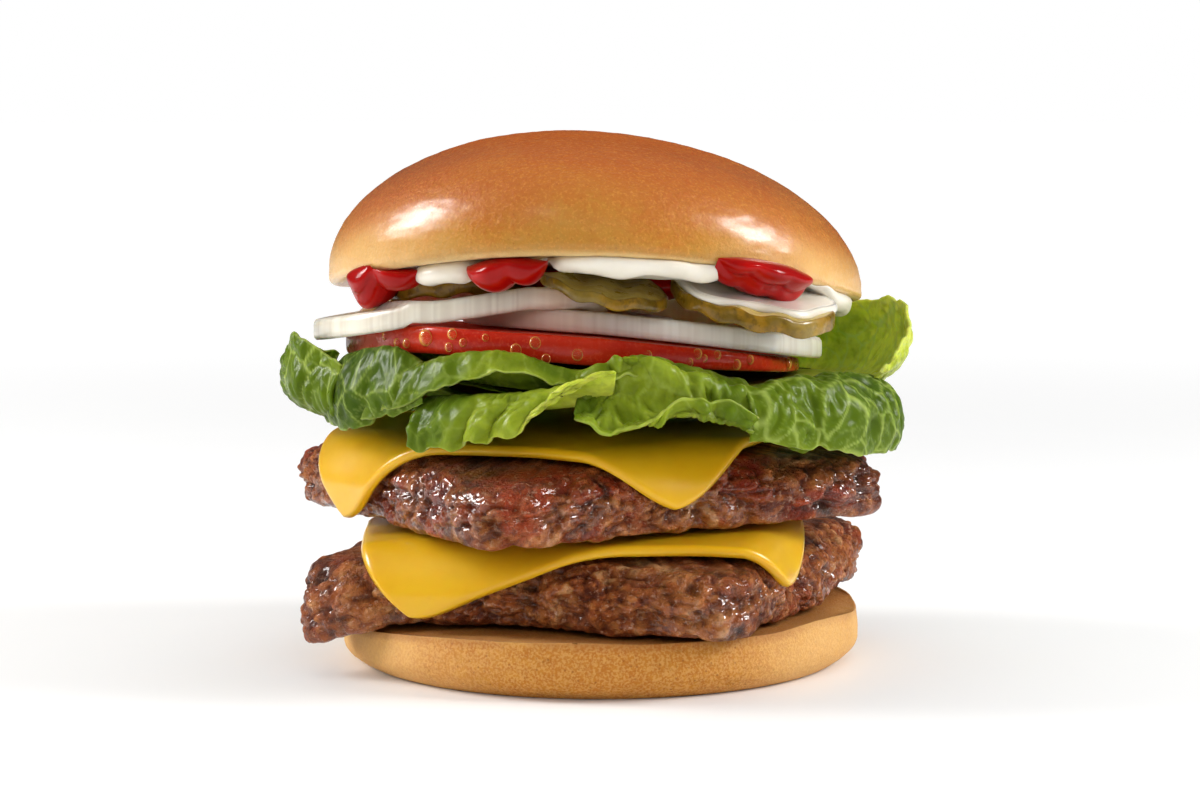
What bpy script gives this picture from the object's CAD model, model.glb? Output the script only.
import math
import bpy
import numpy as np
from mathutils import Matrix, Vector


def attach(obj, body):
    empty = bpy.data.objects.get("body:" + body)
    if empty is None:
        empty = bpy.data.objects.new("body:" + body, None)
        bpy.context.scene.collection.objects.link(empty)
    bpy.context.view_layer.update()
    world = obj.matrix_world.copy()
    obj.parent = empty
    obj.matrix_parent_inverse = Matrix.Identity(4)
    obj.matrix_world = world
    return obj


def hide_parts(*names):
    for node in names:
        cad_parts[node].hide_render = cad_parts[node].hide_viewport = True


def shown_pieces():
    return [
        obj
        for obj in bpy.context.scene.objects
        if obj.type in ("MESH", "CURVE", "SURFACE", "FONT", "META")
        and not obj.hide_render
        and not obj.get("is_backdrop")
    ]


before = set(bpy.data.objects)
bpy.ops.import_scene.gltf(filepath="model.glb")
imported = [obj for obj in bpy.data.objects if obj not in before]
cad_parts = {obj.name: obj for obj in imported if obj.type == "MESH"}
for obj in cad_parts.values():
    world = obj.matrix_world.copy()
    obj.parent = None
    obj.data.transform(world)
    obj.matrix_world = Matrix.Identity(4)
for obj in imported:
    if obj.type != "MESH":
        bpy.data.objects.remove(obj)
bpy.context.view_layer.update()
print("frame loaded:", len(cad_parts), "solids")

# All shapes are worked out in millimetres: x to the right, y to the back, z up.
mm = 0.001
pi = math.pi


def ease(low, high, value):
    # zero below low, one above high, an S-curve between
    share = np.clip((value - low) / (high - low), 0, 1)
    return share * share * (3 - 2 * share)


def softMax(first, second, blend):
    # the larger of two heights, rounded over the blend where they meet
    return (first + second + np.hypot(first - second, blend)) / 2


def along(values, share):
    # smooth curve through evenly spaced values, or rows of values, read at shares from 0 to 1
    values = np.asarray(values, float)
    last = len(values) - 1
    place = np.clip(share, 0, 1) * last
    index = np.minimum(place.astype(int), last - 1)
    t = (place - index)[(...,) + (None,) * (values.ndim - 1)]
    before, start = values[np.maximum(index - 1, 0)], values[index]
    end, after = values[index + 1], values[np.minimum(index + 2, last)]
    bend = 2 * before - 5 * start + 4 * end - after
    twist = 3 * start - before - 3 * end + after
    return start + 0.5 * t * (end - before + t * (bend + t * twist))


def bell(turn, direction, spread, power=2):
    # one towards a direction in degrees and falling to nothing round it
    away = (np.degrees(turn) - direction + 180) % 360 - 180
    return np.exp(-(away / spread) ** power)


def scatter(ix, iy, iz, seed):
    # a steady random number from 0 to 1 for every whole-number place
    mix = (ix * 374761393 + iy * 668265263 + iz * 1440662683 + seed * 1274126177) & 0xFFFFFFFF
    mix = ((mix ^ (mix >> 13)) * 1274126177) & 0xFFFFFFFF
    mix = ((mix ^ (mix >> 15)) * 668265263) & 0xFFFFFFFF
    return ((mix ^ (mix >> 16)) & 0xFFFF) / 65535


def lattice(x, y, z, size, shift):
    # places measured in cells of one size, and the whole-number corner below each
    places = [part / size + move for part, move in zip((x, y, z), shift)]
    return places, [np.floor(place).astype(np.int64) for place in places]


def cloud(x, y, z, size, seed=1):
    # smooth random hills from -1 to 1: random corners of a lattice, blended between
    places, corner = lattice(x, y, z, size, (91.3, 57.1, 33.7))
    blend = [ease(0, 1, place - low) for place, low in zip(places, corner)]
    total = 0
    for step in np.ndindex(2, 2, 2):
        fx, fy, fz = [share if high else 1 - share for share, high in zip(blend, step)]
        total = total + fx * fy * fz * scatter(*[low + high for low, high in zip(corner, step)], seed)
    return total * 2 - 1


def clouds(x, y, z, size, seed=1, layers=3):
    # hills on hills: each layer is half as wide and half as high
    total, height = 0, 1
    for layer in range(layers):
        total = total + height * cloud(x, y, z, size / 2 ** layer, seed + layer)
        height *= 0.5
    return total / (2 - 2 * height)


def grains(x, y, z, size, seed=1):
    # scattered points: distance to the nearest, how much nearer it is than the next, and its own tone
    places, corner = lattice(x, y, z, size, (71.7, 43.9, 29.3))
    nearest, second = np.full((2,) + np.shape(places[0]), 9.0)
    tone = np.zeros_like(nearest)
    for step in np.ndindex(3, 3, 3):
        cell = [low + move - 1 for low, move in zip(corner, step)]
        gx, gy, gz = [part + scatter(*cell, seed + extra) - place
                      for part, extra, place in zip(cell, (0, 17, 31), places)]
        away = np.sqrt(gx * gx + gy * gy + gz * gz)
        closer = away < nearest
        second = np.where(closer, nearest, np.minimum(second, away))
        tone = np.where(closer, scatter(*cell, seed + 53), tone)
        nearest = np.where(closer, away, nearest)
    return nearest, second - nearest, tone


def fullTurn(columns):
    # one row of directions right round
    return np.linspace(-pi, pi, columns, endpoint=False)[None, :]


def upAndOver(count):
    # one column of angles from straight down to straight up
    return np.linspace(-pi / 2, pi / 2, count)[:, None]


def slabRows(sideRows, faceRows, inner, outer, squareLevel=1, squareEdge=1):
    # rows of a slice from the middle below, round the side, to the middle above: the share of the radius,
    # the level from -1 to 1, and the share of the edge's rounding that it is drawn in by
    angle, face = upAndOver(sideRows), np.ones((faceRows, 1))
    inward = np.linspace(inner, outer, faceRows)[:, None]
    rise = np.sign(np.sin(angle)) * np.abs(np.sin(angle)) ** squareLevel
    return (np.concatenate([inward, np.ones((sideRows, 1)), inward[::-1]]), np.concatenate([-face, rise, face]),
            np.concatenate([face, 1 - np.cos(angle) ** squareEdge, face]))


def polar(centre, radius, turn):
    # places at a distance and a direction from a centre
    return centre[0] + radius * np.cos(turn), centre[1] + radius * np.sin(turn)


def turned(centre, ahead, aside, turn):
    # a flat form turned round its own middle and set down at a centre
    return (centre[0] + ahead * np.cos(turn) - aside * np.sin(turn),
            centre[1] + ahead * np.sin(turn) + aside * np.cos(turn))


def hills(x, y, size, seed):
    # clouds that do not change with height
    return cloud(x, y, 0 * x, size, seed)


# Meshes

def addItem(name, data):
    item = bpy.data.objects.new(name, data)
    bpy.context.scene.collection.objects.link(item)
    return item


def camel(nodeName, first=None):
    # a node's words run together, with another first word if one is given
    words = nodeName.split("_")
    return (first or words[0]) + "".join(word.title() for word in words[1:])


def makePiece(name, shell, nodes, material):
    # one mesh from arrays, smooth shaded, riding on the body and standing for its CAD nodes
    points, quads, triangles, paint = shell
    mesh = bpy.data.meshes.new(name)
    corners = np.concatenate([quads.ravel(), triangles.ravel()]).astype(np.int32)
    starts = np.concatenate([np.arange(len(quads)) * 4, quads.size + np.arange(len(triangles)) * 3])
    mesh.vertices.add(len(points))
    mesh.vertices.foreach_set("co", (points * mm).astype(np.float32).ravel())
    mesh.loops.add(len(corners))
    mesh.loops.foreach_set("vertex_index", corners)
    mesh.polygons.add(len(starts))
    mesh.polygons.foreach_set("loop_start", starts.astype(np.int32))
    mesh.update(calc_edges=True)
    mesh.validate()
    mesh.shade_smooth()
    for key, values in paint.items():
        layer = mesh.attributes.new(key, "FLOAT", "POINT")
        layer.data.foreach_set("value", np.asarray(values, np.float32).ravel())
    mesh.materials.append(material)
    item = addItem(name, mesh)
    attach(item, "root")
    if nodes:
        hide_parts(*nodes)


noFaces = np.zeros((0, 3), int)


def roundShell(x, y, z, paint):
    # rings from the bottom middle to the top middle, each closed round, with a point at both ends
    rows, columns = x.shape
    points = np.stack([x, y, z], -1)
    ends = np.stack([points[0].mean(0), points[-1].mean(0)])
    index = np.arange(rows * columns).reshape(rows, columns)
    right = np.roll(index, -1, 1)
    quads = np.stack([index[:-1], right[:-1], right[1:], index[1:]], -1).reshape(-1, 4)
    low = np.full(columns, rows * columns)
    bottomFan = np.stack([low, right[0], index[0]], -1)
    topFan = np.stack([low + 1, index[-1], right[-1]], -1)
    filled = {key: np.append(value.ravel(), [value[0].mean(), value[-1].mean()]) for key, value in paint.items()}
    return np.concatenate([points.reshape(-1, 3), ends]), quads, np.concatenate([bottomFan, topFan]), filled


def ringShell(x, y, z, paint):
    # a tube that closes on itself both ways
    rows, columns = x.shape
    index = np.arange(rows * columns).reshape(rows, columns)
    right = np.roll(index, -1, 1)
    quads = np.stack([index, right, np.roll(right, -1, 0), np.roll(index, -1, 0)], -1).reshape(-1, 4)
    return np.stack([x, y, z], -1).reshape(-1, 3), quads, noFaces, paint


def sheetNormals(points):
    # unit normals of a grid of points, from the steps along its rows and columns
    normal = np.cross(np.gradient(points, axis=0), np.gradient(points, axis=1))
    return normal / np.maximum(np.linalg.norm(normal, axis=-1, keepdims=True), 1e-9)


def sheetShell(middle, thickness, paint):
    # two skins either side of a middle surface that meet at its rim, where the thickness is zero
    rows, columns = thickness.shape
    normal = sheetNormals(middle)
    half = normal * thickness[..., None] / 2
    front = np.arange(rows * columns).reshape(rows, columns)
    back = front.copy()
    back[1:-1, 1:-1] = rows * columns + np.arange((rows - 2) * (columns - 2)).reshape(rows - 2, columns - 2)

    def faces(index):
        return np.stack([index[:-1, :-1], index[1:, :-1], index[1:, 1:], index[:-1, 1:]], -1).reshape(-1, 4)

    points = np.concatenate([(middle + half).reshape(-1, 3), (middle - half)[1:-1, 1:-1].reshape(-1, 3)])
    filled = {key: np.append(value.ravel(), value[1:-1, 1:-1].ravel()) for key, value in paint.items()}
    return points, np.concatenate([faces(front), faces(back)[:, ::-1]]), noFaces, filled


def rimThickness(rows, columns, thickness, roundRows, roundColumns):
    # full thickness inside, and a round fall to zero over the last share at each side
    fromEdge = [np.clip(np.minimum(np.linspace(0, 1, count), np.linspace(1, 0, count)) / part, 0, 1)
                for count, part in ((rows, roundRows), (columns, roundColumns))]
    inward = np.minimum(fromEdge[0][:, None], fromEdge[1][None, :])
    return thickness * np.sqrt(np.clip(1 - (1 - inward) ** 2, 0, 1))


# Shader helpers

def colour(hexCode):
    # a web colour as linear red, green, blue
    parts = [int(hexCode[i:i + 2], 16) / 255 for i in (0, 2, 4)]
    return tuple(c / 12.92 if c <= 0.04045 else ((c + 0.055) / 1.055) ** 2.4 for c in parts) + (1,)


def feed(item, key, value):
    # link another node's output to a socket, or set it to a number or a web colour
    if isinstance(value, bpy.types.NodeSocket):
        item.id_data.links.new(value, item.inputs[key])
    elif value is not None:
        item.inputs[key].default_value = colour(value) if isinstance(value, str) else value


def node(tree, kind, inputs=None, **settings):
    item = tree.nodes.new("ShaderNode" + kind)
    for key, value in settings.items():
        setattr(item, key, value)
    for key, value in (inputs or {}).items():
        feed(item, key, value)
    return item


def ramp(tree, factor, stops):
    item = node(tree, "ValToRGB", {"Fac": factor})
    item.color_ramp.interpolation = "LINEAR"
    elements = item.color_ramp.elements
    while len(elements) < len(stops):
        elements.new(0.5)
    for element, (place, hexCode) in zip(elements, stops):
        element.position = place
        element.color = colour(hexCode)
    return item.outputs["Color"]


def mix(tree, factor, first, second):
    return node(tree, "Mix", {0: factor, 6: first, 7: second}, data_type="RGBA").outputs[2]


def maths(tree, operation, first, second, third=None):
    return node(tree, "Math", {0: first, 1: second, 2: third}, operation=operation).outputs[0]


def times(tree, first, second, plus=None):
    return maths(tree, "MULTIPLY" if plus is None else "MULTIPLY_ADD", first, second, plus)


def attribute(tree, name):
    return node(tree, "Attribute", attribute_name=name).outputs["Fac"]


def between(tree, value, low, high, fromLow=0, fromHigh=1, curve="LINEAR"):
    # one range of values stretched on to another
    return node(tree, "MapRange", {"Value": value, "From Min": fromLow, "From Max": fromHigh, "To Min": low,
                                             "To Max": high}, interpolation_type=curve).outputs["Result"]


def newGroup(name, inputs):
    # a node group with number inputs and one mask, read in object coordinates
    tree = bpy.data.node_groups.new(name, "ShaderNodeTree")
    for label, value in inputs.items():
        tree.interface.new_socket(label, in_out="INPUT", socket_type="NodeSocketFloat").default_value = value
    tree.interface.new_socket("Mask", in_out="OUTPUT", socket_type="NodeSocketFloat")
    place = node(tree, "TexCoord").outputs["Object"]
    return tree, tree.nodes.new("NodeGroupInput").outputs, tree.nodes.new("NodeGroupOutput"), place


def makeMottle():
    # soft uneven patches: noise cut to a band
    tree, given, out, place = newGroup("mottle", {"Scale": 200, "Low": 0.4, "High": 0.6})
    noise = node(tree, "TexNoise", {"Vector": place, "Scale": given["Scale"], "Detail": 4,
                                              "Roughness": 0.6})
    feed(out, "Mask", between(tree, noise.outputs["Fac"], 0, 1, given["Low"], given["High"], "SMOOTHSTEP"))
    return tree


def makePitting():
    # small pits: how near a scattered point is, kept only for some of the points
    tree, given, out, place = newGroup("pitting", {"Scale": 900, "Size": 0.3, "Share": 0.5})
    spots = node(tree, "TexVoronoi", {"Vector": place, "Scale": given["Scale"]}).outputs
    near = between(tree, spots["Distance"], 0, 1, given["Size"], 0, "SMOOTHSTEP")
    apart = node(tree, "SeparateColor", {"Color": spots["Color"]})
    kept = maths(tree, "LESS_THAN", apart.outputs["Red"], given["Share"])
    feed(out, "Mask", times(tree, near, kept))
    return tree


mottleGroup = makeMottle()
pittingGroup = makePitting()


def mottle(tree, scale, low, high):
    given = {"Scale": scale, "Low": low, "High": high}
    return node(tree, "Group", given, node_tree=mottleGroup).outputs["Mask"]


def pitting(tree, scale, size, share):
    given = {"Scale": scale, "Size": size, "Share": share}
    return node(tree, "Group", given, node_tree=pittingGroup).outputs["Mask"]


# the shader's sockets under short names
looks = {"body": "Base Color", "rough": "Roughness", "normal": "Normal", "ior": "IOR", "alpha": "Alpha",
         "sunk": "Subsurface Weight", "reach": "Subsurface Scale", "spread": "Subsurface Radius",
         "specular": "Specular IOR Level", "coat": "Coat Weight", "coatRough": "Coat Roughness",
         "coatIor": "Coat IOR", "glow": "Emission Color", "glowPower": "Emission Strength"}


def setLook(material, **values):
    for word, value in values.items():
        feed(material.node_tree.nodes["Principled BSDF"], looks[word], value)
    return material


def newMaterial(name, **values):
    # a Principled surface whose even values sit on the shader's own sockets
    material = bpy.data.materials.new(name)
    material.use_nodes = True
    return setLook(material, **values), material.node_tree


def paintOver(tree, body, layers):
    # each layer is a mask, or the name of an attribute, then its strength and its colour
    for mask, strength, tint in layers:
        mask = attribute(tree, mask) if isinstance(mask, str) else mask
        body = mix(tree, mask if strength == 1 else times(tree, mask, strength), body, tint)
    return body


def dress(material, height, strength, distance, **values):
    # fine relief, by its height and its depth in millimetres, and what varies over the surface
    given = {"Height": height, "Strength": strength, "Distance": distance * mm}
    relief = node(material.node_tree, "Bump", given)
    return setLook(material, normal=relief.outputs["Normal"], **values)


def evenFood(name, patches, colours, dents, **values):
    # a smooth food in two close colours, with soft dents by their scale, strength and depth
    material, tree = newMaterial(name, **values)
    body = mix(tree, mottle(tree, *patches), *colours)
    return dress(material, mottle(tree, dents[0], 0.2, 0.8), *dents[1:], body=body)


# Heel bun

heel = {"radius": 52.4, "baseRadius": 47.5, "height": 11.3, "squash": 3.2, "rimRise": 1, "rimFall": 2.4}
patty = {"half": 47.5, "corner": 10, "rounding": 7, "footRounding": 4, "lump": 0.9}
lowerPatty = {"centre": (-1.6, 3), "turn": math.radians(-19.6), "bulge": 3, "top": 27, "slope": 0.02,
              "dome": 0.002}
upperPatty = {"centre": (-3.4, 0.5), "turn": math.radians(27.7), "bulge": 0, "top": 46.4, "dome": 0.0028}


def roundedSquare(turn, half, corner):
    # distance from the middle to the outline of a rounded square
    across, up = np.abs(np.cos(turn)), np.abs(np.sin(turn))
    straight = half / np.maximum(across, up)
    sideEnd = half - corner
    middle = sideEnd * (across + up)
    arc = middle + np.sqrt(np.maximum(middle * middle - 2 * sideEnd ** 2 + corner ** 2, 0))
    return np.where(straight * np.minimum(across, up) <= sideEnd, straight, arc)


def pattyOutline(turn, pattyTurn):
    t = turn - pattyTurn
    lump = patty["lump"] * (0.6 * np.sin(5 * t + 0.7) + 0.4 * np.sin(11 * t + 2.1))
    return roundedSquare(t, patty["half"], patty["corner"]) + lump


def heelSquash(x):
    return heel["squash"] * (np.maximum(0, -x - 20) / 32) ** 2


def beyondPatty(x, y):
    # how far a place lies outside the lower patty's outline
    dx, dy = x - lowerPatty["centre"][0], y - lowerPatty["centre"][1]
    return np.hypot(dx, dy) - pattyOutline(np.arctan2(dy, dx), lowerPatty["turn"])


def heelTop(x, y):
    # the cut face: pressed down on the left, standing up where no patty covers it
    free = ease(0, 9, beyondPatty(x, y)) * ease(-20, 10, x)
    rise = heel["rimRise"] - (heel["rimRise"] + heel["rimFall"]) * ease(-32, 8, y)
    return heel["height"] - heelSquash(x) + rise * free


def crumbMaterial():
    material, tree = newMaterial("toasted crumb", sunk=0.12, reach=2 * mm, spread=(1, 0.45, 0.2), specular=0.25)
    tone, fine, pores = mottle(tree, 700, 0.3, 0.7), mottle(tree, 1900, 0.42, 0.6), pitting(tree, 900, 0.32, 0.4)
    body = paintOver(tree, mix(tree, tone, "B26D22", "C1822E"), [
        (mottle(tree, 70, 0.4, 0.7), 0.5, "B4691F"), (fine, 0.55, "D8A85E"), (pores, 0.8, "8A4A1A"),
        ("pale", 1, "E6B874"), ("cut", 1, "D0A058"), ("stain", 1, "8A4A22")])
    return dress(material, times(tree, pores, -0.7, fine), 0.55, 0.16,
                 body=body, rough=between(tree, tone, 0.62, 0.75))


def buildHeel(material):
    # rings run over the flat base, up a rounded side and in over the cut face
    baseRows, sideRows, topRows = 8, 70, 24
    turn = fullTurn(300)
    wobble = 1 + 0.006 * np.sin(3 * turn + 0.5)
    base = np.linspace(0.04, 0.98, baseRows)[:, None]
    climb = np.linspace(0, 1, sideRows)[:, None]
    inward = np.linspace(0.99, 0.05, topRows)[:, None]
    flare = (heel["radius"] - heel["baseRadius"]) * np.sin(np.minimum(climb / 0.6, 1) * pi / 2)
    radius = np.concatenate([heel["baseRadius"] * base * wobble,
                             (heel["baseRadius"] + flare + 0.5 * np.sin(climb * pi)) * wobble,
                             heel["radius"] * inward * wobble])
    x, y = polar((0, 0), radius, turn)
    whole = np.ones_like(x)
    side = np.zeros_like(x)
    side[baseRows:baseRows + sideRows] = 1
    lift = np.concatenate([0 * base, (1 - np.cos(climb * pi / 2)) ** 0.75, np.ones((topRows, 1))])
    z = heelTop(x, y) * lift
    # the crumb: soft hills, fine grain and a few open pores, all a little inside the smooth form
    shown = ease(0, 0.08, lift) * whole
    rough = 0.28 * clouds(x, y, z, 6, 3, 3) + 0.07 * cloud(x, y, z, 0.9, 9)
    near, _, tone = grains(x, y, z, 2.6, 21)
    pore = ease(0.34, 0.12, near) * (tone > 0.8) * ease(0.15, 0.8, cloud(x, y, z, 14, 5) + 0.4)
    x, y = polar((x, y), shown * (rough - 0.28 - 0.55 * pore) * side, turn)
    z = z + (shown * (1 - side) * (lift > 0.99)) * (0.25 * clouds(x, y, z, 3, 7, 3) - 0.25)
    cut = ease(0.93, 1, lift * whole) * (0.75 + 0.25 * cloud(x, y, z, 2, 8))
    outside = beyondPatty(x, y)
    stain = ease(12, 2, outside + 3 * cloud(x, y, z, 5, 13)) * ease(0.8, 1, lift * whole) * 0.5
    pale = ease(0.3, 1, np.abs(np.cos(turn)) + 0.25 * clouds(x, y, z, 16, 17, 2)) * side
    paint = {"cut": np.clip(cut, 0, 1) * ease(-1, 3, outside) * 0.7, "stain": stain, "pale": 0.6 * pale}
    makePiece("heelBun", roundShell(x, y, z, paint), ["heel_bun"], material)


buildHeel(crumbMaterial())
print("heel bun made")

# Beef patties


def lowerPattyBottom(x, y):
    sag = 0.018 * np.maximum(0, np.hypot(x, y) - 51.5) ** 2
    return heel["height"] + 0.75 - np.minimum(heelSquash(x), 4.6) - sag


def domed(spec, x, y):
    # flat in the middle, then falling by the square of the distance
    return spec["top"] - spec["dome"] * np.maximum(0, np.hypot(x, y) - 20) ** 2


def lowerPattyTop(x, y):
    return domed(lowerPatty, x, y) + lowerPatty["slope"] * x


def upperPattyBottom(x, y):
    return lowerPatty["top"] + 3.2 + lowerPatty["slope"] * x + 0.45


def upperPattyTop(x, y):
    return domed(upperPatty, x, y)


def beefMaterial(name, warm):
    material, tree = newMaterial(name, sunk=0.1, reach=1.5 * mm, spread=(1, 0.3, 0.15), specular=0.2,
                                 coatRough=0.1, coatIor=1.5)
    wet = attribute(tree, "wet")
    brown = ramp(tree, attribute(tree, "tone"), [(0, "66280F"), (0.35, "A05424"), (0.65, "BC7238"), (1, "E0A870")])
    body = paintOver(tree, brown, [
        ("red", warm, mix(tree, mottle(tree, 90, 0.45, 0.6), "8A200C", "B23A16")),
        (mottle(tree, 420, 0.5, 0.64), 0.5, "4A1E0E"), (mottle(tree, 900, 0.56, 0.66), 0.5, "DCA888"),
        ("crevice", 1, "220D06")])
    lift = times(tree, mottle(tree, 620, 0.3, 0.7), 1.4, mottle(tree, 1300, 0.3, 0.7))
    return dress(material, lift, 1, 0.5, body=body, rough=between(tree, wet, 0.6, 0.28),
                 coat=times(tree, wet, 0.9))


# what pushes the beef in and out, from slow to fine, how far it all sinks and how far it may stand out
beef = {"swell": 0.9, "lump": 1.25, "pebble": 1.5, "crumb": 0.85, "speck": 0.3, "sunk": 1.35, "fullest": 1.2}


def billow(x, y, z, size, seed):
    # round hills that meet in soft creases: the height of a cloud above or below its middle
    return 2.4 * np.sqrt(cloud(x, y, z, size, seed) ** 2 + 0.006) - 0.6


def pebbles(near):
    # a dome over every scattered point, by the square of the distance to it
    return 0.5 - 1.8 * near * near


def buildPatty(nodeName, spec, bottom, top, material, seed, wetness):
    # a flat layer with a round side, then pushed in and out by swells, lumps, grains and crumbs of mince
    turn = fullTurn(560)
    share, level, drawnIn = slabRows(84, 12, 0.05, 0.97)
    drawnIn = drawnIn * np.where(level > 0, patty["rounding"], patty["footRounding"])
    bulge = spec["bulge"] * bell(turn - spec["turn"], 0, 30)
    x, y = polar(spec["centre"], (pattyOutline(turn, spec["turn"]) + bulge - drawnIn) * share, turn)
    low, high = bottom(x, y), top(x, y)
    z = low + (high - low) * (level + 1) / 2
    wx, wy, wz = [part + 1.3 * cloud(x, y, z, 5, seed + 5 * k) for k, part in enumerate((x, y, z))]
    lump = billow(wx, wy, wz, 9, seed + 2)
    near, _, tint = grains(wx, wy, wz, 4.3, seed + 6)
    nearSmall, _, tintSmall = grains(wx + lump, wy, wz + lump, 2.1, seed + 8)
    speck = cloud(x, y, z, 0.9, seed + 7)
    push = (beef["swell"] * clouds(x, y, z, 16, seed + 1, 2) + beef["lump"] * lump
            + beef["pebble"] * pebbles(near) * (0.6 + 0.8 * tint)
            + beef["crumb"] * pebbles(nearSmall) * (0.5 + tintSmall) + beef["speck"] * speck - beef["sunk"])
    # less push on the flat faces, none past the fullest, and all of it along the way the surface faces
    push = push * (1 - 0.6 * np.abs(level) ** 4)
    push = np.where(push > 0, beef["fullest"] * np.tanh(push / beef["fullest"]), push)
    x, y = polar((x, y), push * np.sqrt(np.clip(1 - level ** 2, 0, 1)), turn)
    z = z + push * level * 0.7
    y = y - 1.5 * ease(48, 61, y)
    deep = ease(-0.1, 0.5, cloud(x, y, z, 9, seed + 20))
    crevice = 0.5 * ease(0.02, -0.42, lump) + 0.65 * ease(0.5, 0.85, near) + 0.45 * ease(0.55, 0.85, nearSmall)
    red = cloud(x, y, z, 10, seed + 11) + 0.7 * (tint - 0.4) + 0.5 * cloud(x, y, z, 5, seed + 12)
    tone = (0.4 + 0.4 * (tint - 0.5) + 0.45 * (tintSmall - 0.5) + 0.25 * pebbles(nearSmall) + 0.2 * speck
            + 0.3 * cloud(x, y, z, 11, seed + 13))
    wet = wetness + 0.7 * cloud(x, y, z, 7, seed + 14) + 0.4 * cloud(x, y, z, 2, seed + 15)
    paint = {"crevice": np.clip(crevice, 0, 1) * (0.4 + 0.45 * deep), "red": ease(0, 0.7, red),
             "tone": np.clip(tone, 0, 1), "wet": np.clip(wet, 0, 1)}
    makePiece(camel(nodeName), roundShell(x, y, z, paint), [nodeName], material)


buildPatty("lower_patty", lowerPatty, lowerPattyBottom, lowerPattyTop,
           beefMaterial("grey brown beef", 0.35), 101, 0.35)
buildPatty("upper_patty", upperPatty, upperPattyBottom, upperPattyTop,
           beefMaterial("red brown beef", 0.75), 211, 0.6)
print("patties made")

# Cheese slices

cheese = {"thickness": 2.2, "clearance": 1, "cornerPull": 0.08, "cornerPower": 8}
lowerCheese = {"centre": (-3.4, -1), "half": 44.3, "turn": math.radians(1.5)}
upperCheese = {"centre": (-6.4, 2.9), "half": 45.5, "turn": math.radians(-22.6)}


def drapeOver(x, y, spec, topRule, foot):
    # a flat slice laid on a patty: level inside its shoulder, then a quarter ellipse down, then straight down
    cx, cy = spec["centre"]
    turn = np.arctan2(y - cy, x - cx)
    shoulder = pattyOutline(turn, spec["turn"]) - patty["rounding"]
    overhang = np.maximum(np.hypot(x - cx, y - cy) - shoulder, 0)
    rimHeight = topRule(*polar((cx, cy), shoulder, turn))
    wide = patty["rounding"] + cheese["clearance"]
    tall = (rimHeight - foot) / 2 + cheese["clearance"]
    arc = (wide + tall + cheese["thickness"]) * pi / 4
    angle = np.minimum(overhang / arc, 1) * pi / 2
    hang = np.maximum(overhang - arc, 0)
    draped = polar((cx, cy), shoulder + wide * np.sin(angle), turn)
    nx, ny = [np.where(overhang > 0, moved, flat) for moved, flat in zip(draped, (x, y))]
    nz = topRule(nx, ny) + cheese["clearance"] - tall * (1 - np.cos(angle)) - hang
    return nx, ny, nz


def buildCheese(nodeName, slab, spec, topRule, foot, material, seed):
    # the slice is a square with melted corners, draped, with a thick soft rim
    size = 96
    line = np.linspace(-1, 1, size)
    line = np.sign(line) * np.abs(line) ** 0.72
    across, up = np.meshgrid(line, line, indexing="ij")
    a = slab["half"] * across * (1 - cheese["cornerPull"] * up ** cheese["cornerPower"])
    b = slab["half"] * up * (1 - cheese["cornerPull"] * across ** cheese["cornerPower"])
    x, y, z = drapeOver(*turned(slab["centre"], a, b, slab["turn"]), spec, topRule, foot)
    half = cheese["thickness"] / 2
    middle = np.stack([x, y, z], -1)
    middle = middle + sheetNormals(middle) * (half + 0.25 * cloud(x, y, z, 11, seed)[..., None])
    thickness = rimThickness(size, size, cheese["thickness"], 0.022, 0.022)
    makePiece(camel(nodeName), sheetShell(middle, thickness, {}), [nodeName], material)


cheeseLook = evenFood("melted cheese", (45, 0.35, 0.7), ("D6A211", "DCAC1A"), (120, 0.25, 0.2), sunk=0.35,
                      reach=3 * mm, spread=(1, 0.55, 0.12), rough=0.34, specular=0.2, coat=0.4, coatRough=0.18)
buildCheese("lower_cheese", lowerCheese, lowerPatty, lowerPattyTop, heel["height"], cheeseLook, 31)
buildCheese("upper_cheese", upperCheese, upperPatty, upperPattyTop, upperPattyBottom(0, 0),
            cheeseLook, 32)
print("cheese made")

# Tomato slice

tomato = {
    "centre": (-5.5, 0.5), "radius": 46.2, "thickness": 5.4, "rounding": 1.1, "taper": 0.012,
    "middle": 63.4, "slopeX": -0.065, "slopeY": -0.07, "rightSag": 0.0006, "leftSag": 0.005, "leftBend": -30,
}


def tomatoMiddle(x, y):
    plane = tomato["middle"] + tomato["slopeX"] * x + tomato["slopeY"] * y
    leftSag = tomato["leftSag"] * np.maximum(0, tomato["leftBend"] - x) ** 2
    return plane - tomato["rightSag"] * np.maximum(0, x) ** 2 - leftSag


def tomatoHalf(x):
    return tomato["thickness"] / 2 * (1 - tomato["taper"] * np.maximum(0, x))


def tomatoTop(x, y):
    return tomatoMiddle(x, y) + tomatoHalf(x)


def tomatoMaterial():
    material, tree = newMaterial("tomato skin", sunk=0.25, reach=3 * mm, spread=(1, 0.2, 0.08), specular=0.1,
                                 coatRough=0.08)
    flesh = attribute(tree, "flesh")
    body = paintOver(tree, mix(tree, mottle(tree, 70, 0.35, 0.65), "AC1C0C", "BA2C12"), [
        (mottle(tree, 1400, 0.52, 0.64), 0.25, "D65A3C"), ("pink", 1, "E8806A"), (flesh, 1, "D8442E")])
    rough = times(tree, flesh, 0.45, between(tree, mottle(tree, 300, 0.3, 0.7), 0.22, 0.36))
    return dress(material, mottle(tree, 800, 0.2, 0.8), 0.3, 0.08, body=body, rough=rough,
                 coat=times(tree, flesh, -0.3, 0.3))


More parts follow.
